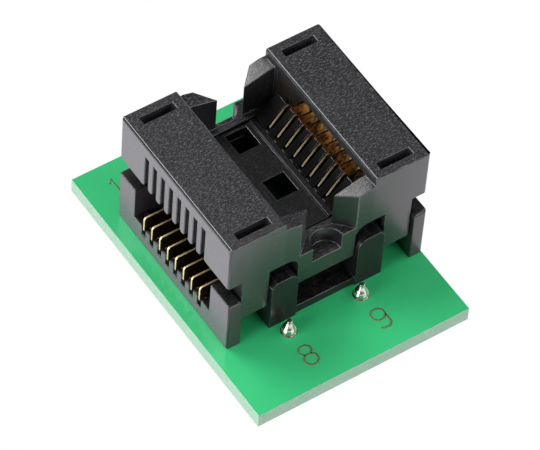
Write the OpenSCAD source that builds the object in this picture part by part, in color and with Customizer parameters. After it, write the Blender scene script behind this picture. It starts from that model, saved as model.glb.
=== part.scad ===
// Open-top test socket for a sixteen-lead small-outline package, on a header board.
// Frame: origin under the board's centre at the header pin tips, +Z up,
// X across the two contact rows, +Y along them to the far end.
// Socket parts are drawn round the socket's own centre, from the board's top face up.

/* [Board] */
// Width of the board, across the contact rows
board_w = 22.1; // [21.7:0.1:22.5]
// Length of the board, along the contact rows
board_l = 30.2; // [28:0.1:36]
// Thickness of the board
board_t = 1.6; // [0.8:0.1:2.4]
// Offset of the socket's centre across the board
socket_x = 0.75; // [0.7:0.01:0.8]
// Offset of the socket's centre along the board
socket_y = 1.2; // [0.9:0.05:1.5]

/* [Header] */
// Distance between the two rows of header pins
header_span = 7.62; // [7.4:0.02:7.8]
// Pitch of the header pins in a row
header_pitch = 2.54; // [2.5:0.01:2.6]
// Number of header pins in a row
header_count = 8; // [8:1:9]
// Diameter of a header pin
pin_d = 0.5; // [0.4:0.01:0.6]
// Diameter of a pin's core inside its strip
core_d = 0.9; // [0.86:0.02:1.2]
// Length of a header pin below its strip
pin_free = 3.2; // [2.5:0.1:4]
// Height of a header strip
strip_h = 2.8; // [2:0.1:4]
// Height of the near-end pins above the board
end_pin_h = 1.5; // [1.2:0.1:3]
// Height of the trimmed pins under the socket
cut_pin_h = 0.6; // [0.3:0.05:0.7]
// Radius of a solder joint on a header pin, at its widest
joint_r = 0.7; // [0.6:0.02:0.85]

/* [Contact rows] */
// Pitch of the package leads
lead_pitch = 1.27; // [1.2:0.01:1.4]
// Number of leads on a side
lead_count = 8; // [6:1:8]
// Thickness of a contact blade
blade_t = 0.2; // [0.15:0.01:0.34]
// Width of the slots that the blades stand in
slot_w = 0.55; // [0.45:0.01:0.62]
// Width of a contact tail
tail_w = 0.45; // [0.35:0.01:0.5]
// Length of a contact tail below the board
tail_free = 0.9; // [0.7:0.1:1.2]
// Distance from the base's long side in to the outer row of tails
tail_inset = 1.3; // [1:0.05:1.5]
// Clearance from a header strip to the solder of the inner row of tails
tail_clear = 0.47; // [0.4:0.01:0.6]
// Radius of the solder round a tail
tail_joint_r = 0.6; // [0.5:0.02:0.7]

/* [Contact arms] */
// Distance from the centre line to a contact tip, closed
tip_x = 2.66; // [2.6:0.02:2.9]
// Height of a contact tip, closed
tip_z = 8.2; // [8.1:0.02:8.4]
// Height of the crest behind the tip
crest_z = 10.1; // [10:0.02:10.4]
// Height of an arm's flat top
arm_z = 9.5; // [9.3:0.02:9.6]
// Distance from the centre line to the arms' pivots
pivot_x = 5.8; // [5.7:0.02:5.9]
// Height of the arms' pivots
pivot_z = 4.4; // [4.3:0.02:4.6]
// Radius of the round knuckle that an arm turns on
knuckle_r = 0.62; // [0.5:0.01:0.7]
// Radius of the arm's hub round the knuckle
hub_r = 1.1; // [1:0.01:1.15]
// Distance from the centre line to the finger that the cam presses
finger_x = 8.35; // [8.3:0.01:8.4]
// Height of the centre of the finger's round end
finger_z = 10.4; // [10.3:0.02:10.5]
// Radius of the finger's round end
finger_r = 0.4; // [0.35:0.01:0.42]
// Angle that the arms swing through when the cover is pressed
swing = 13; // [10:0.5:13]

/* [Base] */
// Half width of the base and the cover
half_w = 10.3; // [10.3:0.02:10.4]
// Reach of the base past the comb, at the near end
near_reach = 2.75; // [2.55:0.05:3.1]
// Reach of the base past the comb, at the far end
far_reach = 2.35; // [2.35:0.05:2.9]
// Thickness of the long walls
long_wall = 1.35; // [1.2:0.05:1.4]
// Height of the long walls
wall_h = 5.95; // [5.5:0.05:6.1]
// Height of the ledge that the contacts pass over
ledge_h = 2.3; // [2:0.05:2.8]
// Thickness of the floor under the contacts
floor_t = 1.6; // [1.4:0.05:1.8]
// Thickness of the floor's lips at the two ends
lip_t = 1; // [0.6:0.05:1.2]
// Width of a latch post
post_w = 2.8; // [2.6:0.05:2.8]
// Height of a latch post
post_h = 6.05; // [5.9:0.05:6.2]
// Chamfer along the long walls' inner top edges
wall_lead = 0.3; // [0.1:0.05:0.4]
// Radius of the long walls' upper ends
wall_r = 0.35; // [0.2:0.05:0.5]
// Radius of the outer upright corners of base and cover
corner_r = 0.28; // [0.1:0.02:0.4]
// Height of the fins between the contacts' knuckles
fin_h = 5.2; // [5:0.05:5.4]
// Distance from the centre line to the comb's inner face
comb_x = 2.3; // [2.3:0.01:2.4]
// Thickness of the comb, from its inner face out
comb_t = 2.2; // [2:0.05:2.2]
// Height of the comb's ridge
comb_h = 10; // [9.9:0.05:10.2]
// Reach of the comb past the outermost contacts
comb_past = 1.8; // [1.75:0.05:1.9]
// Reach of a long wall's notch past the outermost contacts
notch_past = 1.55; // [1.4:0.05:1.6]

/* [Package seat] */
// Height of the seat's rails, which carry the package
seat_z = 7.85; // [7.75:0.01:7.95]
// Thickness of the seat plate
seat_t = 1; // [0.8:0.05:1.4]
// Height of the rails above the plate
rail_h = 0.2; // [0.1:0.02:0.3]
// Width of a rail
rail_w = 0.55; // [0.4:0.05:0.7]
// Width of the seat's two windows
window_w = 2.2; // [1.8:0.05:2.3]
// Length of the seat's two windows
window_l = 2.35; // [2:0.05:2.4]
// Near edge of the window toward the far end
far_window_y = 3.6; // [3.2:0.1:3.8]

/* [Cover] */
// Height of the cover's top, at rest
cover_top = 13.4; // [13.3:0.02:13.8]
// Thickness of a tower's roof
roof_t = 1; // [0.8:0.02:1]
// Distance from the centre line to a tower's inner edge
tower_x = 4.6; // [4.5:0.05:4.8]
// Thickness of a tower's outer wall
tower_wall = 1.1; // [0.9:0.05:1.1]
// Reach of the cover past the comb, at each end
cover_reach = 2.35; // [2.3:0.01:2.35]
// Thickness of a tower's end block
end_block = 2; // [1.9:0.05:2.1]
// Travel of the cover
travel = 1.4; // [1.2:0.05:1.4]
// Height of the feet of the cover's legs, at rest
leg_z = 2.9; // [2.7:0.05:3.1]
// Height of the bridge's underside, at rest
bridge_z = 3.95; // [3.8:0.05:4.2]
// Height of the bridge's top, at rest
bridge_top = 7.85; // [7.8:0.01:7.9]
// Radius of the notch in the bridge
notch_r = 1.5; // [1.2:0.05:1.6]
// Depth of the notch in the bridge
notch_d = 1.75; // [1.5:0.05:2.2]
// Depth of the pocket in a tower's end block
pocket_d = 4; // [3:0.1:4.4]
// Distance from the centre line to the pockets' inner ends
pocket_in = 5.65; // [5.4:0.05:6]
// Distance from the centre line to the pockets' outer ends
pocket_out = 9; // [8.6:0.05:9.2]
// Width of the pockets, along the rows
pocket_w = 0.8; // [0.6:0.05:0.9]
// Thickness of the wall outside a pocket
pocket_wall = 0.85; // [0.7:0.05:0.9]
// Reach of the lead-in blocks in from the towers
guide_reach = 3.25; // [3:0.05:3.4]
// Length of the lead-in blocks, along the rows
guide_l = 1.6; // [1.4:0.05:1.8]
// Chamfer along a tower's top edges
edge = 0.15; // [0.1:0.01:0.25]

/* [Fits] */
// Gap between the cover and the base where they slide
slide_gap = 0.1; // [0.06:0.01:0.12]
// Gap between parts that pass without touching
pass_gap = 0.15; // [0.1:0.01:0.18]
// Gap over a latch post when the cover is pressed
gate_gap = 0.25; // [0.2:0.05:0.3]
// Radial gap between a knuckle and the arm's eye
knuckle_gap = 0.05; // [0.03:0.01:0.08]
// Gap between a finger and the cam over it
cam_gap = 0.05; // [0.03:0.01:0.1]
// Radial gap round the header pins in strip and solder
pin_gap = 0.02; // [0.01:0.01:0.05]

/* [Hidden] */
sides = ["left", "right"];

mould = [0.17, 0.17, 0.18];
gold = [0.80, 0.60, 0.30];
copper = [0.72, 0.42, 0.18];
tin = [0.80, 0.80, 0.78];
green = [0.10, 0.62, 0.36];

eps = 0.01;
far = 40;
$fn = 48;

// Heights and places of the board and the header
board_z = pin_free + strip_h;
board_top = board_z + board_t;
strip_w = header_pitch;
pin_end = (header_count - 1) / 2 * header_pitch;
tail_r = pin_d / 2 + 0.04;
hole_gap = 0.15;
joint_gap = 0.15;
relief_h = cut_pin_h + 2 * joint_gap;
drop_gap = 0.15;

// Along the rows: the outermost contact, the comb's end and the cover's inner faces
row_end = (lead_count - 1) / 2 * lead_pitch;
comb_end = row_end + comb_past;
notch_end = row_end + notch_past;
bridge_y = comb_end + pass_gap;
cover_end = comb_end + cover_reach;
near_end = comb_end + near_reach;
far_end = comb_end + far_reach;
block_y = cover_end - end_block;

// Across the rows
wall_x = half_w - long_wall;
fin_x = pivot_x + hub_r + 0.4;
post_in = 3.1;
post_out = post_in + post_w;
shoulder_r = 1.1;
leg_in = post_out + slide_gap;
leg_out = wall_x - slide_gap;
comb_out = comb_x + comb_t;
seat_w = comb_x - 0.1;
seat_in = 0.05;
ledge_in = 1.4;
inner_tail = header_span / 2 + strip_w / 2 + socket_x + tail_clear + tail_joint_r;
foot_x = half_w - 0.7;

// Heights in the socket
blade_z = floor_t - 0.4;
contact_h = ledge_h + 1.45;
shelf_z = seat_z - 0.15;
plate_z = seat_z - rail_h;
seat_under = plate_z - seat_t;
skirt_z = wall_h + travel + 0.65;
gate_z = post_h + travel + gate_gap;
roof_z = cover_top - roof_t;

// Latch hook: its underside, height, depth and place along the post
latch_z = 4.4;
latch_h = 0.9;
latch_d = 0.25;
latch_l = 0.8;
latch_in = 1.4;
stop_gap = 0.05;

// Places a child on both sides of the centre line, or on the named one.
module on_side(side) {
    if (side == "left") mirror([1, 0, 0]) children();
    else children();
}

module both_sides() {
    for (s = sides) on_side(s) children();
}

module both_ends() {
    children();
    mirror([0, 1, 0]) children();
}

// Moves what is drawn round the socket's centre to its place on the board.
module in_socket() {
    translate([socket_x, socket_y, board_top]) children();
}

// A box from its low corner to its high corner.
module span(low, high) {
    translate(low) cube(high - low);
}

// Extrudes an outline drawn in X and Z along Y, from y0 to y1.
module along_y(y0, y1) {
    translate([0, y1, 0]) rotate([90, 0, 0]) linear_extrude(y1 - y0) children();
}

function lead_y(n) = row_end - (n - 1) * lead_pitch;
function pin_y(n) = pin_end - (n - 1) * header_pitch;
function tail_x(n) = n % 2 == 0 ? inner_tail : half_w - tail_inset;
function is_near(n) = pin_y(n) - socket_y < -near_end - joint_r;
function pin_top(n) = is_near(n) ? end_pin_h : cut_pin_h;

// ---- Board and header ----

module circuit_board() {
    color(green) difference() {
        span([-board_w / 2, -board_l / 2, board_z], [board_w / 2, board_l / 2, board_top]);
        for (sx = [-1, 1], n = [1:header_count])
            translate([sx * header_span / 2, pin_y(n), board_z - 1])
                cylinder(h = board_t + 2, d = pin_d + 2 * hole_gap);
        for (sx = [-1, 1], n = [1:lead_count])
            translate([socket_x + sx * tail_x(n), socket_y + lead_y(n), board_z - 1])
                cylinder(h = board_t + 2, d = tail_w + 2 * hole_gap);
    }
}

// A header strip with a vee between each two pins.
module header_strip(side) {
    vee = 0.35;
    color(mould) on_side(side) translate([header_span / 2, 0, pin_free]) difference() {
        span([-strip_w / 2, -pin_end - strip_w / 2, 0], [strip_w / 2, pin_end + strip_w / 2, strip_h]);
        for (n = [1:header_count])
            translate([0, pin_y(n), -1]) cylinder(h = strip_h + 2, r = core_d / 2 + pin_gap);
        for (n = [1:header_count - 1], sx = [-1, 1])
            translate([sx * strip_w / 2, pin_y(n) - header_pitch / 2, -1])
                rotate(45) translate([-vee, -vee, 0]) cube([2 * vee, 2 * vee, strip_h + 2]);
    }
}

// Turned pins: a plug end with a bevelled tip, a core in the strip, a tail that tapers.
module header_pins(side) {
    tip_h = 0.12;
    color(tin) on_side(side) for (n = [1:header_count])
        translate([header_span / 2, pin_y(n), 0]) {
            cylinder(h = tip_h, r1 = pin_d / 2 - tip_h, r2 = pin_d / 2);
            translate([0, 0, tip_h]) cylinder(h = pin_free - tip_h, r = pin_d / 2);
            translate([0, 0, pin_free]) cylinder(h = strip_h, r = core_d / 2);
            translate([0, 0, board_z])
                cylinder(h = board_t + pin_top(n), r1 = tail_r, r2 = pin_d / 2);
        }
}

// Solder on the board's top: tall drops where the pins show, low ones under the base.
module header_solder(side) {
    color(tin) on_side(side) for (n = [1:header_count])
        translate([header_span / 2, pin_y(n), board_top])
            solder_drop(joint_r, pin_top(n) - drop_gap, tail_r + pin_gap);
}

// A drop of solder round a pin: fullest a little above the board, drawn in to a neck.
module solder_drop(r, h, hole_r) {
    belly = 0.45 * h;
    neck_r = hole_r + 0.08;
    steps = 7;
    rotate_extrude() polygon(concat(
        [[hole_r, 0], [0.9 * r, 0]],
        [for (i = [0:steps]) let (a = 90 * i / steps)
            [neck_r + (r - neck_r) * pow(cos(a), 0.8), belly + (h - belly) * sin(a)]],
        [[hole_r, h]]
    ));
}

// ---- Socket base ----

// The comb and its shelf, the fins and the inner ledge, as one outline.
module bank_outline() {
    polygon([
        [ledge_in, 0], [ledge_in, seat_under], [comb_x, seat_under], [comb_x, seat_z],
        [comb_out - 0.1, comb_h], [comb_out, comb_h - 0.1],
        [comb_out, fin_h], [fin_x, fin_h], [fin_x, floor_t], [wall_x, floor_t], [wall_x, 0]
    ]);
}

// The free space round one contact: over the shelf and down to the blade's seat.
module blade_slot() {
    along_y(-slot_w / 2, slot_w / 2) polygon([
        [comb_x - 1, shelf_z], [comb_out, shelf_z], [comb_out, blade_z],
        [half_w + 1, blade_z], [half_w + 1, far], [comb_x - 1, far]
    ]);
}

// The outline of a latch post with a rounded inner shoulder, grown by a gap.
module post_outline(gap) {
    r = shoulder_r + gap;
    difference() {
        translate([post_in - gap, 0]) square([post_w + 2 * gap, post_h + gap]);
        translate([post_in - gap, post_h - shoulder_r]) difference() {
            translate([-1, 0]) square([r + 1, r + 1]);
            translate([r, 0]) circle(r = r);
        }
    }
}

// A latch post with a hook on its outer side.
module latch_post(reach) {
    bevel = 0.7;
    hook_y = cover_end - latch_in;
    difference() {
        along_y(comb_end - eps, reach) post_outline(0);
        along_y(comb_end - 1, reach + 1)
            translate([post_out, post_h]) rotate(45) square(bevel, center = true);
    }
    along_y(hook_y, hook_y + latch_l)
        polygon([
            [post_out - eps, latch_z], [post_out + latch_d, latch_z],
            [post_out + latch_d, latch_z + 0.2], [post_out - eps, latch_z + latch_h]
        ]);
}

// The outline of what lies outside a rounded corner whose tip is the origin.
module corner_outline(r) {
    difference() {
        translate([-r, -r]) square(2 * r);
        translate([-r, -r]) circle(r = r);
    }
}

// What is cut away to round an upright corner at x and y.
module corner_cut(x, y) {
    translate([x, y, -1]) linear_extrude(far) corner_outline(corner_r);
}

// A long wall, with the notch that the contacts reach through.
module long_wall_solid() {
    difference() {
        along_y(-near_end, far_end) polygon([
            [wall_x - eps, 0], [wall_x - eps, wall_h - wall_lead],
            [wall_x + wall_lead, wall_h], [half_w, wall_h], [half_w, 0]
        ]);
        span([wall_x - 1, -notch_end, ledge_h], [half_w + 1, notch_end, far]);
        long_wall_corner(far_end);
        mirror([0, 1, 0]) long_wall_corner(near_end);
    }
}

// What is cut away to round a long wall's upright corner and its upper end.
module long_wall_corner(reach) {
    corner_cut(half_w, reach);
    translate([wall_x - 1, reach, wall_h]) rotate([90, 0, 90])
        linear_extrude(long_wall + 2) corner_outline(wall_r);
}

module socket_base() {
    end_wall = 0.4;
    lip_in = 0.2;
    tail_room = tail_w / 2 + 0.125;
    joint_room = joint_r + joint_gap;
    color(mould) in_socket() difference() {
        union() {
            both_sides() {
                along_y(-comb_end, comb_end) bank_outline();
                long_wall_solid();
                latch_post(far_end);
                mirror([0, 1, 0]) latch_post(near_end);
            }
            // end walls and lips join the two banks
            both_ends() span([-comb_x, comb_end - end_wall, 0], [comb_x, comb_end, seat_under]);
            // and close the contacts' chambers
            both_sides() both_ends()
                span([fin_x - eps, notch_end, floor_t - eps], [wall_x, comb_end, fin_h]);
            span([-post_out, comb_end - eps, 0], [post_out, far_end - lip_in, lip_t]);
            span([-post_out, -near_end + lip_in, 0], [post_out, -comb_end + eps, lip_t]);
        }
        both_sides() for (n = [1:lead_count]) translate([0, lead_y(n), 0]) {
            blade_slot();
            translate([tail_x(n), 0, 0])
                span([-tail_room, -slot_w / 2, -1], [tail_room, slot_w / 2, floor_t]);
        }
        // grooves over the trimmed header joints
        for (sx = [-1, 1]) translate([sx * header_span / 2 - socket_x, 0, 0])
            span([-joint_room, relief_near, -1], [joint_room, relief_far, relief_h]);
    }
}

// ---- Package seat ----

module ic_seat() {
    half_l = comb_end - seat_in;
    color(mould) in_socket() difference() {
        union() {
            span([-seat_w, -half_l, seat_under], [seat_w, half_l, plate_z]);
            both_sides()
                span([seat_w - rail_w, -half_l, plate_z - eps], [seat_w, half_l, seat_z]);
        }
        for (y = [-window_l, far_window_y])
            span([-window_w / 2, y, 0], [window_w / 2, y + window_l, far]);
    }
}

// ---- Cover ----

// Where the finger's centre runs in the cover, as the cover goes down from 0 to 1.
function finger_path(t) =
    let (a = swing * t, dx = finger_x - pivot_x, dz = finger_z - pivot_z)
    [pivot_x + dx * cos(a) + dz * sin(a), pivot_z + dz * cos(a) - dx * sin(a) + travel * t];

// The cam's face: the path moved off by the finger's radius and the gap.
function cam_point(t) =
    let (p = finger_path(t), d = finger_path(t + 0.01) - finger_path(t - 0.01))
    p + (finger_r + cam_gap) * [-d[1], d[0]] / norm(d);

// Roof, outer wall and cam of one tower, as outlines.
module roof_outline() {
    polygon([
        [tower_x, roof_z], [tower_x, cover_top - edge], [tower_x + edge, cover_top],
        [half_w - edge, cover_top], [half_w, cover_top - edge], [half_w, roof_z]
    ]);
}

module cam_outline() {
    path = [for (t = [-0.1:0.1:1.15]) cam_point(t)];
    polygon(concat(path, [[path[len(path) - 1][0], roof_z + eps], [path[0][0], roof_z + eps]]));
}

// A slot of the outer wall, flared at its lower end.
module wall_slot() {
    flare = 0.18;
    translate([half_w - tower_wall - 1, 0, 0]) rotate([90, 0, 90]) linear_extrude(tower_wall + 2)
        polygon([
            [-slot_w / 2, roof_z - 0.4], [slot_w / 2, roof_z - 0.4],
            [slot_w / 2, skirt_z + flare], [slot_w / 2 + flare, skirt_z - eps],
            [-slot_w / 2 - flare, skirt_z - eps], [-slot_w / 2, skirt_z + flare]
        ]);
}

// The end block and leg of one tower.
module end_block_solid() {
    hook_y = cover_end - latch_in;
    groove_top = latch_z + latch_h + travel + slide_gap;
    difference() {
        along_y(block_y, cover_end) polygon([
            [leg_in, leg_z], [leg_out, leg_z], [leg_out, skirt_z], [half_w, skirt_z],
            [half_w, cover_top - edge], [half_w - edge, cover_top],
            [tower_x + edge, cover_top], [tower_x, cover_top - edge],
            [tower_x, gate_z], [leg_in, gate_z]
        ]);
        // pocket in the top
        span([pocket_in, cover_end - pocket_wall - pocket_w, cover_top - pocket_d],
            [pocket_out, cover_end - pocket_wall, far]);
        corner_cut(half_w, cover_end);
        // groove that the latch hook runs in
        span([leg_in - 1, hook_y - slide_gap, latch_z - stop_gap],
            [leg_in + latch_d + stop_gap, hook_y + latch_l + slide_gap, groove_top]);
    }
}

// The lead-in block beside the bridge: a cut corner under a sloping top.
module guide_block() {
    inner = tower_x - guide_reach;
    intersection() {
        translate([0, 0, bridge_top - eps]) linear_extrude(far) polygon([
            [tower_x + eps, cover_end], [inner + guide_l, cover_end],
            [inner, cover_end - guide_l], [tower_x + eps, cover_end - guide_l]
        ]);
        along_y(block_y - 1, cover_end + 1) polygon([
            [inner - 1, 0], [inner - 1, roof_z - 1], [tower_x - 0.64, roof_z + 0.1],
            [tower_x + 1, roof_z + 0.1], [tower_x + 1, 0]
        ]);
    }
}

// The bridge that joins the two towers at one end, with its notch and two gates,
// which drop over the latch posts when the cover is pressed.
module bridge() {
    difference() {
        span([-tower_x - eps, bridge_y, bridge_z], [tower_x + eps, cover_end, bridge_top]);
        both_sides() along_y(bridge_y - 1, cover_end + 1)
            translate([0, gate_z - post_h - slide_gap]) post_outline(slide_gap);
        translate([0, cover_end, bridge_top - notch_d]) {
            translate([0, -0.1, 0]) cylinder(h = far, r = notch_r);
            span([-notch_r, -0.1, 0], [notch_r, 1, far]);
        }
    }
}

module cover() {
    color(mould) in_socket() {
        both_sides() {
            along_y(-block_y - eps, block_y + eps) roof_outline();
            along_y(-block_y - eps, block_y + eps) cam_outline();
            difference() {
                span([half_w - tower_wall, -block_y - eps, skirt_z],
                    [half_w, block_y + eps, roof_z + eps]);
                for (n = [1:lead_count]) translate([0, lead_y(n), 0]) wall_slot();
            }
            both_ends() {
                end_block_solid();
                guide_block();
            }
        }
        both_ends() bridge();
    }
}

// ---- Contacts ----

// The part of a contact that stays: foot, tail, neck and round knuckle.
module contact_outline(x_tail) {
    neck_w = 0.5;
    bevel = 0.15;
    foot_in = pivot_x - neck_w;
    foot_top = pivot_z - hub_r - 0.6;
    step_x = fin_x + 0.3;
    lap_z = ledge_h - 0.25;
    polygon([
        [foot_in, blade_z], [foot_x, blade_z], [foot_x, lap_z], [half_w, lap_z],
        [half_w, contact_h - bevel], [half_w - bevel, contact_h],
        [step_x + bevel, contact_h], [step_x, contact_h - bevel],
        [step_x, foot_top], [foot_in, foot_top]
    ]);
    translate([x_tail - tail_w / 2, -board_t - tail_free])
        square([tail_w, board_t + tail_free + blade_z + eps]);
    translate([pivot_x - neck_w / 2, blade_z]) square([neck_w, pivot_z - blade_z]);
    translate([pivot_x, pivot_z]) circle(r = knuckle_r);
}

// An outline cut from the contacts' sheet metal, centred on the blade's plane.
module blade() {
    along_y(-blade_t / 2, blade_t / 2) children();
}

module contact(side, n) {
    color(gold) in_socket() on_side(side) translate([0, lead_y(n), 0]) blade()
        contact_outline(tail_x(n));
}

// The part of a contact that swings: open hub, stem, tip and finger.
module arm_stem() {
    polygon([
        [pivot_x - 1.05, pivot_z + 0.3], [pivot_x - 1.05, tip_z + 0.05],
        [tip_x + 1.4, tip_z + 0.1], [tip_x - 0.04, tip_z - 0.22], [tip_x - 0.08, tip_z - 0.08],
        [tip_x, tip_z], [tip_x + 1.45, crest_z - 0.1], [tip_x + 1.8, crest_z],
        [tip_x + 2.25, arm_z], [finger_x - 0.65, arm_z], [finger_x - finger_r, finger_z],
        [finger_x + finger_r, finger_z], [finger_x + finger_r, arm_z - 0.3],
        [finger_x - 0.15, arm_z - 0.9], [pivot_x + 0.95, arm_z - 1.2],
        [pivot_x + 0.9, pivot_z + 0.3]
    ]);
}

module arm(side, n) {
    color(copper) in_socket() on_side(side) translate([0, lead_y(n), 0])
        difference() {
            union() {
                blade() translate([pivot_x, pivot_z]) circle(r = hub_r);
                blade() translate([finger_x, finger_z]) circle(r = finger_r);
                blade() arm_stem();
            }
            along_y(-1, 1) translate([pivot_x, pivot_z]) circle(r = knuckle_r + knuckle_gap);
            along_y(-1, 1) translate([pivot_x, pivot_z])
                polygon([[0, 0], [-2 * hub_r, -2 * hub_r], [2 * hub_r, -2 * hub_r]]);
        }
}

// Solder under the board round the contact tails of one side.
module tail_solder(side) {
    neck_r = 0.35;
    drop_h = tail_free - 0.2;
    color(tin) on_side(side) for (n = [1:lead_count])
        translate([(side == "left" ? -socket_x : socket_x) + tail_x(n), socket_y + lead_y(n), board_z])
            difference() {
                mirror([0, 0, 1]) cylinder(h = drop_h, r1 = tail_joint_r, r2 = neck_r);
                cube([tail_w + 2 * pin_gap, blade_t + 2 * pin_gap, 3], center = true);
            }
}

// Ends of the grooves under the base, past the outermost trimmed joints.
trimmed = [for (n = [1:header_count]) if (!is_near(n)) pin_y(n) - socket_y];
relief_near = min(trimmed) - joint_r - joint_gap;
relief_far = max(trimmed) + joint_r + joint_gap;

circuit_board();
socket_base();
ic_seat();
cover();
for (s = sides) {
    header_strip(s);
    header_pins(s);
    header_solder(s);
    tail_solder(s);
    for (n = [1:lead_count]) {
        contact(s, n);
        arm(s, n);
    }
}
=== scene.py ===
"""An open-top test socket on its adapter board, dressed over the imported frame.

Lengths are in metres. MM turns the plain millimetre sizes below into them.
"""

import math

import bmesh
import bpy
from mathutils import Euler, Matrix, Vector


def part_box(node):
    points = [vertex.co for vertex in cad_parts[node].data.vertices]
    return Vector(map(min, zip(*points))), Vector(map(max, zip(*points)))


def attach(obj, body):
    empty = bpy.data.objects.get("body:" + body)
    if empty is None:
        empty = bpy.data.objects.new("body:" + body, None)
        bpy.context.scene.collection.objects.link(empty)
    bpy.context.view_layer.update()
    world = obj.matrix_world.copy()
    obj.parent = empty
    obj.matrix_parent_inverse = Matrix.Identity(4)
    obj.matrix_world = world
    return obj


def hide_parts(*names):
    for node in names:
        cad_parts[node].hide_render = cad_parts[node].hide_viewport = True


MM = 0.001
SIDES = ("left", "right")
COUNT = 8  # contacts, and header pins, on each side

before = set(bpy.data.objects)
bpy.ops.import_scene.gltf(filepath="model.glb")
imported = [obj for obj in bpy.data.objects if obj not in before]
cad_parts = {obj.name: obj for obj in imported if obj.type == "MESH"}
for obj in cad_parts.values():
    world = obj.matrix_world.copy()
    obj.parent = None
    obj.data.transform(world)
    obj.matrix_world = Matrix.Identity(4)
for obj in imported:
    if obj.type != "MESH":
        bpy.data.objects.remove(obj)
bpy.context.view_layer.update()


def add_object(name, data):
    thing = bpy.data.objects.new(name, data)
    bpy.context.scene.collection.objects.link(thing)
    return thing


def socket_of(group, name, kind):
    """The socket of that name and kind, from a node that has several of the name."""
    return [socket for socket in group if socket.name == name and socket.type == kind][0]


class Nodes:
    """A node tree with short ways to add nodes, fill their sockets and join them."""

    def __init__(self, tree):
        self.tree = tree

    def add(self, kind, **settings):
        node = self.tree.nodes.new(kind)
        for name, value in settings.items():
            setattr(node, name, value)
        return node

    def join(self, source, target):
        self.tree.links.new(source, target)

    def fill(self, socket, value):
        """Gives a socket a value, or joins it to another node's output."""
        if isinstance(value, bpy.types.NodeSocket):
            self.join(value, socket)
        else:
            socket.default_value = value

    def feed(self, node, **values):
        """Fills a node's sockets by name, and gives its first output."""
        for name, value in values.items():
            self.fill(node.inputs[name.replace("_", " ")], value)
        return node.outputs[0]

    def maths(self, operation, first, second=0.0):
        node = self.add("ShaderNodeMath", operation=operation)
        self.fill(node.inputs[0], first)
        self.fill(node.inputs[1], second)
        return node.outputs[0]

    def part_of(self, vector, axis):
        node = self.add("ShaderNodeSeparateXYZ")
        self.join(vector, node.inputs[0])
        return node.outputs[axis]

    def end_with(self, output, share, first, second):
        """Ends a shader tree: the second surface laid over the first by share."""
        mix = self.add("ShaderNodeMixShader")
        self.join(share, mix.inputs[0])
        self.join(first, mix.inputs[1])
        self.join(second, mix.inputs[2])
        self.join(mix.outputs[0], self.add(output).inputs["Surface"])


# ---------------------------------------------------------------- camera, light, floor

CAMERA_PLACE = Vector((-143.57, -187.66, 313.20)) * MM
CAMERA_TURN = (37.8518, -2.9650, -33.6042)  # degrees
CAMERA_LENS = 292.167  # for a 36 mm wide frame
ROOM_LIGHT = 0.13
FLOOR_REACH = 3.0
FLOOR_TONE = (0.86, 0.86, 0.86, 1)
WHITE = (1, 1, 1, 1)


def add_camera():
    data = bpy.data.cameras.new("camera")
    data.sensor_fit = "HORIZONTAL"
    data.sensor_width = 36
    data.lens = CAMERA_LENS
    data.clip_start = 10 * MM
    data.clip_end = 10
    camera = add_object("camera", data)
    camera.location = CAMERA_PLACE
    camera.rotation_euler = Euler([math.radians(angle) for angle in CAMERA_TURN])
    bpy.context.scene.camera = camera


def add_softbox(name, toward, distance, width, length, radiance):
    """A rectangular lamp that faces the object from the direction toward, level on its long side."""
    data = bpy.data.lights.new(name, "AREA")
    data.shape = "RECTANGLE"
    data.size = width
    data.size_y = length
    data.energy = radiance * math.pi * width * length
    lamp = add_object(name, data)
    lamp.location = Vector(toward).normalized() * distance
    lamp.rotation_euler = lamp.location.to_track_quat("Z", "Y").to_euler()


def add_lights():
    """Two bright softboxes, over the far end and to the left, and two dim ones that fill."""
    add_softbox("back_softbox", toward=(-0.20, 0.485, 0.85), distance=0.50,
                width=0.21, length=0.21, radiance=9.0)
    add_softbox("left_softbox", toward=(-0.97, -0.04, 0.26), distance=0.50,
                width=0.34, length=0.26, radiance=9.0)
    add_softbox("front_softbox", toward=(0.25, -0.88, 0.40), distance=0.60,
                width=0.40, length=0.30, radiance=3.6)
    add_softbox("right_softbox", toward=(0.80, -0.20, 0.56), distance=0.60,
                width=0.40, length=0.30, radiance=2.6)


def add_world():
    """White where the camera sees it, a dim room for the light it gives."""
    world = bpy.data.worlds.new("studio")
    bpy.context.scene.world = world
    world.use_nodes = True
    world.node_tree.nodes.clear()
    n = Nodes(world.node_tree)
    seen_by_camera = n.add("ShaderNodeLightPath").outputs["Is Camera Ray"]
    white = n.feed(n.add("ShaderNodeBackground"), Color=WHITE, Strength=1)
    room = n.feed(n.add("ShaderNodeBackground"), Color=WHITE, Strength=ROOM_LIGHT)
    n.end_with("ShaderNodeOutputWorld", seen_by_camera, room, white)


def floor_paint():
    """White to the camera, in gloss and through glass; matt grey to all other light."""
    material = bpy.data.materials.new("floor")
    material.use_nodes = True
    material.node_tree.nodes.clear()
    n = Nodes(material.node_tree)
    rays = n.add("ShaderNodeLightPath").outputs
    seen = n.maths("MAXIMUM", rays["Is Camera Ray"], rays["Is Glossy Ray"])
    seen = n.maths("MAXIMUM", seen, rays["Is Transmission Ray"])
    white = n.feed(n.add("ShaderNodeEmission"), Strength=1)
    matt = n.feed(n.add("ShaderNodeBsdfDiffuse"), Color=FLOOR_TONE)
    n.end_with("ShaderNodeOutputMaterial", seen, matt, white)
    return material


def add_floor():
    """A pale floor under the pin tips. It shows white, but takes the object's shadow."""
    mesh = bpy.data.meshes.new("floor")
    corners = [(x * FLOOR_REACH, y * FLOOR_REACH, 0) for x, y in ((-1, -1), (1, -1), (1, 1), (-1, 1))]
    mesh.from_pydata(corners, [], [(0, 1, 2, 3)])
    floor = add_object("floor", mesh)
    mesh.materials.append(floor_paint())


# ---------------------------------------------------------------- materials

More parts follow.
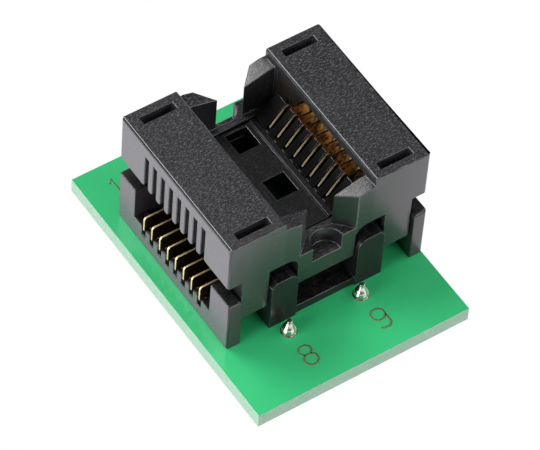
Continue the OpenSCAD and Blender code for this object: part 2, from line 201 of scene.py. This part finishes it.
class Finish(Nodes):
    """A material being built: its shader and ways to make patterns on the object's own place."""

    def __init__(self, name, **sockets):
        self.material = bpy.data.materials.new(name)
        self.material.use_nodes = True
        super().__init__(self.material.node_tree)
        self.shader = self.tree.nodes["Principled BSDF"]
        self.feed(self.shader, **sockets)
        self.place = self.add("ShaderNodeTexCoord").outputs["Object"]

    def noise(self, grain, detail=3.0, rough=0.55, stretch=None):
        """Noise whose features are about grain metres across."""
        node = self.add("ShaderNodeTexNoise")
        self.feed(node, Scale=1 / grain, Detail=detail, Roughness=rough, Vector=self.stretched(stretch))
        return node.outputs["Fac"]

    def stretched(self, stretch):
        if stretch is None:
            return self.place
        return self.feed(self.add("ShaderNodeMapping"), Scale=stretch, Vector=self.place)

    def ramp(self, value, *stops):
        """Stops are (position, colour); a colour may be one grey number."""
        node = self.add("ShaderNodeValToRGB")
        elements = node.color_ramp.elements
        while len(elements) < len(stops):
            elements.new(0.5)
        for element, (position, colour) in zip(elements, stops):
            element.position = position
            if not hasattr(colour, "__len__"):
                colour = (colour,) * 3
            element.color = (*colour, 1)
        self.join(value, node.inputs["Fac"])
        return node.outputs["Color"]

    def scale(self, value, low, high):
        """value, from 0 to 1, spread from low to high."""
        return self.feed(self.add("ShaderNodeMapRange"), To_Min=low, To_Max=high, Value=value)

    def step(self, value, low, high):
        """0 where value is under low, 1 where it is over high."""
        return self.feed(self.add("ShaderNodeMapRange"), From_Min=low, From_Max=high, Value=value)

    def blend(self, share, first, second):
        """The second colour laid over the first by share; each is a socket or a colour."""
        node = self.add("ShaderNodeMix", data_type="RGBA")
        self.join(share, node.inputs["Factor"])
        for side, colour in (("A", first), ("B", second)):
            value = (*colour, 1) if isinstance(colour, tuple) else colour
            self.fill(socket_of(node.inputs, side, "RGBA"), value)
        return socket_of(node.outputs, "Result", "RGBA")

    def facing(self, axis, low, high):
        """0 where a face leans to an axis by less than low, 1 where by more than high."""
        lean = self.part_of(self.add("ShaderNodeNewGeometry").outputs["Normal"], axis)
        if axis != "Z":
            lean = self.maths("ABSOLUTE", lean)
        return self.step(lean, low, high)

    def from_middle(self, low, high):
        """0 nearer than low to the socket's middle plane, 1 further out than high."""
        inner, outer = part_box("ic_seat")
        away = self.maths("SUBTRACT", self.part_of(self.place, "X"), (inner.x + outer.x) / 2)
        return self.step(self.maths("ABSOLUTE", away), low, high)

    def bump(self, *heights):
        """Each height is (value, depth in metres, strength); they lie on one another."""
        normal = None
        for value, depth, strength in heights:
            node = self.add("ShaderNodeBump")
            self.feed(node, Distance=depth, Strength=strength, Height=value)
            if normal:
                self.join(normal, node.inputs["Normal"])
            normal = node.outputs["Normal"]
        self.join(normal, self.shader.inputs["Normal"])

    def colour(self, socket):
        self.join(socket, self.shader.inputs["Base Color"])

    def roughness(self, socket):
        self.join(socket, self.shader.inputs["Roughness"])


def toned(tint, tone):
    """A tint brought to a tone, as a colour."""
    return tuple(part * tone for part in tint)


def moulded_black(name, wall, top, ior=1.70, sheen=0.12, painted_light_tint=(1.05, 0.97, 1.13),
                  core_gloss=0.5, core=(4.4 * MM, 4.7 * MM)):
    """Glass-filled black moulding: speckled level faces; painted light and shade on upright faces.

    wall and top are the tones of upright and level faces. core_gloss is the specular level
    near the socket's middle plane, where a value under 0.5 is painted shade; between core's two
    distances it changes to the usual 0.5.
    """
    f = Finish(name, IOR=ior, Sheen_Weight=sheen, Sheen_Roughness=0.45, Sheen_Tint=(0.90, 0.92, 1.0, 1))
    speckle = f.noise(0.15 * MM, 2.0, 0.7)
    fibre = f.noise(0.42 * MM, 2.0, 0.6, (1.0, 3.2, 1.0))
    patch = f.noise(3.5 * MM, 3.0)
    up = f.facing("Z", 0.92, 0.95)
    end_face = f.maths("MULTIPLY", f.facing("Y", 0.90, 0.98), f.from_middle(6.0 * MM, 10.0 * MM))
    outer_wall = f.maths("MULTIPLY", f.facing("X", 0.90, 0.98), f.from_middle(9.9 * MM, 10.2 * MM))

    # Painted light and shade on upright faces: inner ones dark as painted shade, end faces lighter and
    # violet as painted light, outer side walls pale as painted light and reflection.
    inner = toned((1.0, 1.02, 1.10), wall * 0.4)
    end = toned((1.15, 0.92, 1.22), wall * 1.6)
    upright = f.blend(outer_wall, f.blend(end_face, inner, end), toned(painted_light_tint, wall * 3.7))
    grey = toned((1.0, 1.0, 1.12), top)
    dark = toned((1.0, 1.0, 1.08), top * 0.3)
    pale = toned((1.0, 1.0, 1.08), top * 8.0)
    level = f.blend(f.ramp(patch, (0.35, 0.0), (0.65, 1.0)), grey, dark)
    fleck = f.ramp(f.maths("MULTIPLY", speckle, fibre), (0.24, 0.0), (0.38, 1.0))
    f.colour(f.blend(up, upright, f.blend(fleck, level, pale)))

    # Painted shade: the specular level drops to core_gloss towards the socket's middle.
    f.join(f.scale(f.from_middle(*core), core_gloss, 0.5), f.shader.inputs["Specular IOR Level"])
    f.roughness(f.maths("ADD", f.scale(speckle, 0.24, 0.34), f.maths("MULTIPLY", up, 0.04)))
    depth = f.scale(up, 0.05, 0.85)
    f.bump((speckle, 0.022 * MM, depth), (fibre, 0.012 * MM, depth))
    return f.material


def worn_and_highlit_edge(name, tone):
    """The thin rounding along a moulding's edges, painted paler: rubbed wear and painted highlight."""
    f = Finish(name, IOR=1.70)
    rub = f.noise(0.8 * MM, 3.0, 0.6)
    cool = (0.94, 1.0, 1.08)
    rubbed = f.ramp(rub, (0.35, 0.0), (0.60, 1.0))
    f.colour(f.blend(rubbed, toned(cool, tone * 0.45), toned(cool, tone)))
    f.roughness(f.scale(rub, 0.20, 0.30))
    return f.material


def solder_mask():
    """Green lacquer over the laminate, with a soft gloss and a faint weave under it."""
    f = Finish("solder_mask", IOR=1.52, Coat_Weight=0.35, Coat_Roughness=0.16)
    cloud = f.noise(7 * MM, 3.0)
    weave = f.noise(0.7 * MM, 2.0, 0.5, (1.0, 0.35, 1.0))
    dust = f.noise(0.12 * MM, 1.0)
    tone = f.blend(cloud, (0.030, 0.55, 0.185), (0.050, 0.65, 0.240))
    f.colour(f.blend(f.scale(weave, 0.0, 0.12), tone, (0.08, 0.74, 0.32)))
    f.roughness(f.scale(cloud, 0.26, 0.34))
    f.bump((cloud, 0.012 * MM, 0.2), (dust, 0.003 * MM, 0.12))
    return f.material


def laminate_edge():
    """The sawn edge of glass-fibre board: pale, with plies lying level."""
    f = Finish("laminate_edge", IOR=1.5)
    plies = f.noise(0.55 * MM, 4.0, 0.6, (0.35, 0.35, 4.5))
    fray = f.noise(0.25 * MM, 3.0, 0.6)
    tone = f.blend(plies, (0.19, 0.42, 0.28), (0.42, 0.55, 0.45))
    f.colour(f.blend(f.ramp(fray, (0.55, 0.0), (0.75, 0.6)), tone, (0.56, 0.68, 0.55)))
    f.roughness(f.scale(fray, 0.45, 0.70))
    f.bump((plies, 0.03 * MM, 0.5), (fray, 0.015 * MM, 0.4))
    return f.material


def plated_copper(name, bright, deep, roughness):
    """Stamped copper alloy under a thin plate, with rolling marks along the strip."""
    f = Finish(name, Metallic=1.0)
    rolled = f.noise(0.20 * MM, 3.0, 0.6, (0.5, 0.5, 2.2))
    stain = f.noise(1.3 * MM, 4.0, 0.6)
    f.colour(f.blend(f.ramp(stain, (0.35, 0.0), (0.70, 1.0)), bright, deep))
    f.roughness(f.scale(rolled, *roughness))
    f.bump((rolled, 0.004 * MM, 0.35), (stain, 0.01 * MM, 0.2))
    return f.material


def bright_tin(name, tint, roughness, ripple):
    """Tin, as plate on a pin or as solder that set with a slight ripple."""
    f = Finish(name, Metallic=1.0)
    wave = f.noise(0.45 * MM, 3.0, 0.5)
    frost = f.noise(0.08 * MM, 2.0, 0.6)
    f.colour(f.blend(f.ramp(wave, (0.40, 0.0), (0.75, 1.0)), tint, toned(tint, 0.72)))
    f.roughness(f.scale(frost, *roughness))
    f.bump((wave, ripple, 0.6), (frost, 0.003 * MM, 0.3))
    return f.material


def arm_flank():
    """Unplated copper behind the comb, with painted shade on the tips that stand between its teeth."""
    f = Finish("arm_flank", Metallic=1.0)
    # 0 near the middle, where the arms take painted shade; 1 further out, where the copper shows.
    outside_painted_shade = f.from_middle(4.3 * MM, 4.7 * MM)
    stain = f.noise(0.75 * MM, 4.0, 0.65)
    copper = f.blend(f.ramp(stain, (0.42, 0.0), (0.58, 1.0)), (1.0, 0.50, 0.13), (0.10, 0.045, 0.015))
    f.colour(f.blend(outside_painted_shade, (0.07, 0.045, 0.02), copper))
    f.roughness(f.scale(stain, 0.30, 0.50))
    f.bump((stain, 0.012 * MM, 0.4))
    return f.material


def arm_edge():
    """The sheared edge of an arm: plated, with a painted highlight at the tip and painted shade over
    the crest.
    """
    f = Finish("arm_edge", Metallic=1.0)
    rolled = f.noise(0.20 * MM, 3.0, 0.6)
    bright = f.blend(rolled, (1.0, 0.88, 0.62), (0.84, 0.66, 0.38))
    # Painted highlight: nearly white towards the middle, at the tip.
    tip = f.blend(f.from_middle(2.2 * MM, 2.8 * MM), (1.0, 0.97, 0.88), bright)
    # Painted shade: dark brown beyond the crest's start, away from the middle.
    f.colour(f.blend(f.from_middle(3.0 * MM, 4.1 * MM), tip, (0.09, 0.065, 0.035)))
    f.roughness(f.scale(rolled, 0.50, 0.62))
    f.bump((rolled, 0.004 * MM, 0.35))
    return f.material


def legend_ink():
    """Thin brown marking, a little worn."""
    f = Finish("legend_ink")
    wear = f.noise(0.25 * MM, 3.0, 0.6)
    f.colour(f.blend(f.ramp(wear, (0.45, 0.0), (0.70, 0.8)), (0.14, 0.18, 0.065), (0.08, 0.30, 0.10)))
    f.roughness(f.scale(wear, 0.40, 0.60))
    return f.material


# ---------------------------------------------------------------- shaping

MERGE_WITHIN = 0.0008 * MM
FLAT_WITHIN = math.radians(0.4)
SHARP_OVER = math.radians(32)
CRISP_OVER = math.radians(40)
METAL_ROUND = 0.02 * MM


def cad_copy(node, name):
    """The node's own shape as a new object, with its points merged and flat faces made whole."""
    piece = add_object(name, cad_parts[node].data.copy())
    mesh = bmesh.new()
    mesh.from_mesh(piece.data)
    bmesh.ops.remove_doubles(mesh, verts=mesh.verts, dist=MERGE_WITHIN)
    bmesh.ops.dissolve_limit(mesh, angle_limit=FLAT_WITHIN, verts=mesh.verts, edges=mesh.edges)
    mesh.to_mesh(piece.data)
    mesh.free()
    piece.data.shade_smooth()
    piece.data.materials.clear()
    return piece


def round_edges(piece, width, segments=2, finish=-1):
    """Rounds the sharp edges. finish is the roundings' material, or -1 for their faces' own."""
    bevel = piece.modifiers.new("soft_edges", "BEVEL")
    bevel.material = finish
    bevel.width = width
    bevel.segments = segments
    bevel.limit_method = "ANGLE"
    bevel.angle_limit = SHARP_OVER
    bevel.use_clamp_overlap = False


def keep_faces_flat(piece):
    normals = piece.modifiers.new("flat_faces", "WEIGHTED_NORMAL")
    normals.mode = "FACE_AREA"
    normals.weight = 100
    normals.keep_sharp = False


def place(piece, body, slot, *nodes):
    """Hands a finished piece to the frame, in the stead of its CAD nodes."""
    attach(piece, body)
    if nodes:
        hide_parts(*nodes)


def soften(node, body, slot, materials, width, segments=2, paint=None):
    """Stands in for a CAD node: the same shape with its sharp edges slightly rounded.

    paint gives each face its material's number. Without it every face has the first
    material and every rounding the last.
    """
    piece = cad_copy(node, node + "_piece")
    for material in materials:
        piece.data.materials.append(material)
    for face in piece.data.polygons:
        face.material_index = paint(face) if paint else 0
    round_edges(piece, width, segments, -1 if paint else len(materials) - 1)
    keep_faces_flat(piece)
    settle(piece)
    place(piece, body, slot, node)


def as_made(piece):
    """What a piece's modifiers make of it, as a plain mesh."""
    bpy.context.view_layer.update()
    made = piece.evaluated_get(bpy.context.evaluated_depsgraph_get())
    return bpy.data.meshes.new_from_object(made)


def settle(piece):
    """Turns what the modifiers make into the piece's own plain mesh."""
    mesh = as_made(piece)
    piece.modifiers.clear()
    piece.data = mesh


# ---------------------------------------------------------------- node trees

class Tree(Nodes):
    """A geometry node tree being built, with named inputs."""

    def __init__(self, name, **inputs):
        super().__init__(bpy.data.node_groups.new(name, "GeometryNodeTree"))
        face = self.tree.interface
        face.new_socket("Geometry", in_out="INPUT", socket_type="NodeSocketGeometry")
        face.new_socket("Geometry", in_out="OUTPUT", socket_type="NodeSocketGeometry")
        self.sockets = {n: face.new_socket(n, in_out="INPUT", socket_type=k) for n, k in inputs.items()}
        self.inputs = self.add("NodeGroupInput").outputs
        self.result = self.add("NodeGroupOutput").inputs[0]

    def vector(self, x, y, z):
        return self.feed(self.add("ShaderNodeCombineXYZ"), X=x, Y=y, Z=z)

    def curve(self, value, points, sharp):
        """value, from 0 to 1, sent through a drawn curve."""
        node = self.add("ShaderNodeFloatCurve")
        line = node.mapping.curves[0]
        while len(line.points) < len(points):
            line.points.new(0.5, 0.5)
        for point, (x, y) in zip(line.points, points):
            point.location = (x, y)
            point.handle_type = "VECTOR" if sharp else "AUTO_CLAMPED"
        node.mapping.update()
        self.join(value, node.inputs["Value"])
        return node.outputs[0]

    def finish(self, geometry, material):
        """Realize Instances, then Set Material."""
        real = self.feed(self.add("GeometryNodeRealizeInstances"), Geometry=geometry)
        coated = self.feed(self.add("GeometryNodeSetMaterial"), Geometry=real, Material=material)
        self.join(coated, self.result)

    def put_on(self, piece, **values):
        modifier = piece.modifiers.new(self.tree.name, "NODES")
        modifier.node_group = self.tree
        for name, value in values.items():
            modifier[self.sockets[name].identifier] = value


def row_tree():
    """Repeats a piece along the row; flanks and sheared edges take separate materials, the flanks' with
    painted shade.
    """
    t = Tree("row", Count="NodeSocketInt", Pitch="NodeSocketFloat",
             Edge="NodeSocketMaterial", Flank="NodeSocketMaterial")
    line = t.add("GeometryNodeMeshLine", mode="OFFSET")
    t.feed(line, Count=t.inputs["Count"], Offset=t.vector(0.0, t.inputs["Pitch"], 0.0))
    row = t.feed(t.add("GeometryNodeInstanceOnPoints"), Points=line.outputs[0],
                 Instance=t.inputs["Geometry"])
    real = t.feed(t.add("GeometryNodeRealizeInstances"), Geometry=row)
    lean = t.part_of(t.add("GeometryNodeInputNormal").outputs[0], "Y")
    flat = t.maths("GREATER_THAN", t.maths("ABSOLUTE", lean), 0.8)
    edged = t.feed(t.add("GeometryNodeSetMaterial"), Geometry=real, Material=t.inputs["Edge"])
    flanked = t.feed(t.add("GeometryNodeSetMaterial"), Geometry=edged, Selection=flat,
                     Material=t.inputs["Flank"])
    t.join(flanked, t.result)
    return t


def turned_tree(name, radii, heights, sharp=False, sides=28, rings=14):
    """A turned shape at every point. radii and heights are curves from the foot to the top."""
    t = Tree(name, Radius="NodeSocketFloat", Seed="NodeSocketInt", Material="NodeSocketMaterial")
    grid = t.add("GeometryNodeMeshGrid")
    t.feed(grid, Vertices_X=sides + 1, Vertices_Y=rings + 1)
    at = t.add("ShaderNodeSeparateXYZ")
    t.join(t.add("GeometryNodeInputPosition").outputs[0], at.inputs[0])
    turn = t.maths("MULTIPLY", at.outputs["X"], math.tau)
    climb = t.maths("ADD", at.outputs["Y"], 0.5)
    reach = t.maths("MULTIPLY", t.curve(climb, radii, sharp), t.inputs["Radius"])
    spot = t.vector(t.maths("MULTIPLY", reach, t.maths("COSINE", turn)),
                    t.maths("MULTIPLY", reach, t.maths("SINE", turn)),
                    t.maths("MULTIPLY", t.curve(climb, heights, sharp), MM))
    shape = t.feed(t.add("GeometryNodeSetPosition"), Geometry=grid.outputs[0], Position=spot)
    shape = t.feed(t.add("GeometryNodeMergeByDistance"), Geometry=shape, Distance=0.002 * MM)
    tall = t.add("GeometryNodeInputNamedAttribute", data_type="FLOAT")
    tall.inputs["Name"].default_value = "height"
    spin = t.add("FunctionNodeRandomValue", data_type="FLOAT")
    socket_of(spin.inputs, "Min", "VALUE").default_value = 0.0
    socket_of(spin.inputs, "Max", "VALUE").default_value = math.tau
    t.join(t.inputs["Seed"], spin.inputs["Seed"])
    spun = t.vector(0.0, 0.0, socket_of(spin.outputs, "Value", "VALUE"))
    many = t.feed(t.add("GeometryNodeInstanceOnPoints"), Points=t.inputs["Geometry"], Instance=shape,
                  Rotation=spun, Scale=t.vector(1.0, 1.0, tall.outputs[0]))
    t.finish(many, t.inputs["Material"])
    return t


def stroke_tree():
    """A flat ribbon along every stroke of a drawing."""
    t = Tree("strokes", Width="NodeSocketFloat", Thickness="NodeSocketFloat",
             Material="NodeSocketMaterial")
    section = t.add("GeometryNodeCurvePrimitiveQuadrilateral")
    t.feed(section, Width=t.inputs["Width"], Height=t.inputs["Thickness"])
    ribbon = t.add("GeometryNodeCurveToMesh")
    t.feed(ribbon, Curve=t.inputs["Geometry"], Profile_Curve=section.outputs[0], Fill_Caps=True)
    t.finish(ribbon.outputs[0], t.inputs["Material"])
    return t


def row_of(name, nodes, body, slot, edge, flank, tree):
    """One sheet-metal piece, repeated over the places of the nodes that it stands for."""
    places = [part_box(node)[0].y for node in nodes]
    piece = cad_copy(nodes[places.index(min(places))], name)
    round_edges(piece, METAL_ROUND)
    pitch = (max(places) - min(places)) / (len(nodes) - 1)
    tree.put_on(piece, Count=len(nodes), Pitch=pitch, Edge=edge, Flank=flank)
    keep_faces_flat(piece)
    settle(piece)
    place(piece, body, slot, *nodes)


def turned_at(name, spots, body, slot, material, radius, tree, nodes=(), crisp=False):
    """Turned shapes at spots, each (place, height). A crisp one keeps its rim sharp."""
    mesh = bpy.data.meshes.new(name)
    mesh.from_pydata([spot for spot, tall in spots], [], [])
    heights = mesh.attributes.new("height", "FLOAT", "POINT")
    for item, (spot, tall) in zip(heights.data, spots):
        item.value = tall / MM
    piece = add_object(name, mesh)
    tree.put_on(piece, Radius=radius, Seed=7, Material=material)
    settle(piece)
    piece.data.shade_smooth()
    if crisp:
        piece.data.set_sharp_from_angle(angle=CRISP_OVER)
    place(piece, body, slot, *nodes)


# ---------------------------------------------------------------- the pieces

def dress_mouldings():
    cover_black = moulded_black("cover_black", wall=0.026, top=0.015, core_gloss=0.38)
    # The base and the seat are darker, less glossy copies of the cover's black: painted shade under the
    # towers and in the middle.
    base_black = moulded_black("base_black", wall=0.026, top=0.005, ior=1.58, sheen=0.04,
                               painted_light_tint=(1.12, 0.93, 1.17), core_gloss=0.18, core=(5.5 * MM, 7.5 * MM))
    seat_black = moulded_black("seat_black", wall=0.008, top=0.004, ior=1.50, sheen=0.0)
    strip_black = moulded_black("strip_black", wall=0.014, top=0.012)
    # Each rim is painted paler than its faces as a painted edge highlight; the base's darker rim is
    # painted shade.
    cover_rim = worn_and_highlit_edge("cover_rim", tone=0.06)
    base_rim = worn_and_highlit_edge("base_rim", tone=0.025)
    seat_rim = worn_and_highlit_edge("seat_rim", tone=0.08)
    soften("cover", "cover", "mould", [cover_black, cover_rim], width=0.09 * MM, segments=3)
    soften("socket_base", "adapter", "mould", [base_black, base_rim], width=0.06 * MM)
    soften("ic_seat", "adapter", "mould", [seat_black, seat_rim], width=0.05 * MM)
    for side in SIDES:
        soften(f"header_strip_{side}", "adapter", "strip", [strip_black], width=0.06 * MM)


def dress_board():
    """The board: lacquered faces, a sawn edge all round and a plated wall in every hole."""
    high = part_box("circuit_board")[1]
    edge_zone = 0.12 * MM
    lacquer, sawn, plated = 0, 1, 2

    def paint(face):
        if abs(face.normal.z) > 0.5:
            return lacquer
        x, y = abs(face.center.x), abs(face.center.y)
        return sawn if x > high.x - edge_zone or y > high.y - edge_zone else plated

    plate = bright_tin("hole_plate", (0.80, 0.78, 0.70), roughness=(0.2, 0.35), ripple=0.01 * MM)
    soften("circuit_board", "adapter", "board", [solder_mask(), laminate_edge(), plate],
           width=0.04 * MM, paint=paint)


def dress_contacts():
    """Two rows of fixed contacts a side, set one behind the other in turn, and a row of arms."""
    gold = plated_copper("contact_gold", bright=(0.98, 0.84, 0.52), deep=(0.90, 0.70, 0.36),
                         roughness=(0.42, 0.58))
    # The contacts' flanks are the same gold plate painted dark brown: painted shade between the blades.
    shaded_flank = plated_copper("contact_flank", bright=(0.17, 0.10, 0.04), deep=(0.05, 0.03, 0.014),
                         roughness=(0.38, 0.55))
    # The arms' edges carry a painted highlight at the tip and painted shade over the crest; their
    # flanks carry painted shade between the comb's teeth.
    tip, brown = arm_edge(), arm_flank()
    row = row_tree()
    for side in SIDES:
        for start, where in ((1, "outer"), (2, "inner")):
            nodes = [f"contact_{side}_{n}" for n in range(start, COUNT + 1, 2)]
            row_of(f"contacts_{side}_{where}", nodes, "adapter", "contact", gold, shaded_flank, row)
        nodes = [f"arm_{side}_{n}" for n in range(1, COUNT + 1)]
        row_of(f"arms_{side}", nodes, f"{side}_arms", "contact_arm", tip, brown, row)


def header_spots(side):
    """Where the header pins of one side come through the board's top face."""
    low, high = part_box(f"header_strip_{side}")
    pitch = (high.y - low.y) / COUNT
    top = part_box("circuit_board")[1].z
    return [Vector(((low.x + high.x) / 2, low.y + (n + 0.5) * pitch, top)) for n in range(COUNT)]


def dress_header():
    """The header's pins and the joints round them: full drops, and low ones by the socket."""
    tin = bright_tin("pin_tin", (0.60, 0.58, 0.53), roughness=(0.18, 0.32), ripple=0.003 * MM)
    solder = bright_tin("solder", (0.90, 0.88, 0.78), roughness=(0.10, 0.20), ripple=0.03 * MM)
    drop = turned_tree(
        "solder_drop",
        radii=[(0, 0.92), (0.22, 1.0), (0.45, 0.90), (0.70, 0.60), (0.88, 0.42), (1, 0.36)],
        heights=[(0, 0.0), (0.22, 0.18), (0.45, 0.40), (0.70, 0.70), (0.88, 0.90), (1, 1.0)],
    )
    pad = turned_tree(
        "pad",
        radii=[(0, 0.5), (0.05, 1.0), (0.95, 1.0), (1, 0.5)],
        heights=[(0, 0.0), (0.05, 0.0), (0.95, 1.0), (1, 1.0)],
        sharp=True,
        rings=20,
    )
    pad_height, pad_margin = 0.03 * MM, 0.08 * MM
    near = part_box("socket_base")[0].y
    for side in SIDES:
        low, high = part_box(f"header_solder_{side}")
        radius = (high.x - low.x) / 2
        tall = high.z - low.z
        spots = header_spots(side)
        drops = [(spot, tall if spot.y < near else tall / 3) for spot in spots]
        turned_at(f"solder_drops_{side}", drops, "adapter", "solder", solder, radius, drop,
                  nodes=[f"header_solder_{side}"])
        pads = [(spot, pad_height) for spot in spots]
        turned_at(f"header_pads_{side}", pads, "adapter", "solder", tin, radius + pad_margin, pad,
                  crisp=True)
        soften(f"header_pins_{side}", "adapter", "pin", [tin], width=0.05 * MM)
        soften(f"tail_solder_{side}", "adapter", "solder", [solder], width=0.10 * MM, segments=3)


# Strokes of the pin numbers, each drawn in a box DIGIT_WIDTH wide and 1 high
DIGIT_WIDTH = 0.6
DIGITS = {
    "1": [[(0.12, 0.80), (0.32, 1.0), (0.32, 0.0)], [(0.12, 0.0), (0.52, 0.0)]],
    "6": [[(0.56, 0.92), (0.44, 1.0), (0.16, 1.0), (0.0, 0.84), (0.0, 0.16), (0.16, 0.0), (0.44, 0.0),
           (0.6, 0.16), (0.6, 0.40), (0.44, 0.56), (0.16, 0.56), (0.0, 0.40)]],
    "8": [[(0.16, 0.54), (0.02, 0.68), (0.02, 0.86), (0.16, 1.0), (0.44, 1.0), (0.58, 0.86),
           (0.58, 0.68), (0.44, 0.54), (0.16, 0.54), (0.0, 0.38), (0.0, 0.16), (0.16, 0.0),
           (0.44, 0.0), (0.6, 0.16), (0.6, 0.38), (0.44, 0.54)]],
    "9": [[(0.04, 0.08), (0.16, 0.0), (0.44, 0.0), (0.6, 0.16), (0.6, 0.84), (0.44, 1.0), (0.16, 1.0),
           (0.0, 0.84), (0.0, 0.60), (0.16, 0.44), (0.44, 0.44), (0.6, 0.60)]],
}


def pin_number_strokes():
    """The numbers of the four corner pins as lines on the board's top face."""
    tall = 2.1 * MM
    step = 1.8 * MM  # from one digit to the next
    low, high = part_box("circuit_board")
    near, far = low.y + 2.1 * MM, high.y - 3.9 * MM
    pins = {side: header_spots(side)[0].x for side in SIDES}
    numbers = (("8", pins["left"], near), ("9", pins["right"], near),
               ("1", low.x + 3.0 * MM, far), ("16", high.x - 4.0 * MM, far))
    drawing = bpy.data.curves.new("pin_numbers", "CURVE")
    drawing.dimensions = "3D"
    for word, x, y in numbers:
        for place_in_word, digit in enumerate(word):
            left = x - DIGIT_WIDTH / 2 * tall + place_in_word * step
            for stroke in DIGITS[digit]:
                spline = drawing.splines.new("POLY")
                spline.points.add(len(stroke) - 1)
                for point, (u, v) in zip(spline.points, stroke):
                    point.co = (left + u * tall, y + v * tall, high.z, 1)
    return drawing


def dress_legend():
    """The pin numbers in thin strokes on the lacquer."""
    drawn = add_object("pin_numbers", pin_number_strokes())
    stroke_tree().put_on(drawn, Width=0.20 * MM, Thickness=0.03 * MM, Material=legend_ink())
    mesh = as_made(drawn)
    bpy.data.objects.remove(drawn)
    place(add_object("pin_number_legend", mesh), "adapter", "board")


add_camera()
add_world()
add_lights()
add_floor()
bpy.context.scene.view_settings.view_transform = "Standard"
dress_mouldings()
dress_board()
dress_contacts()
dress_header()
dress_legend()
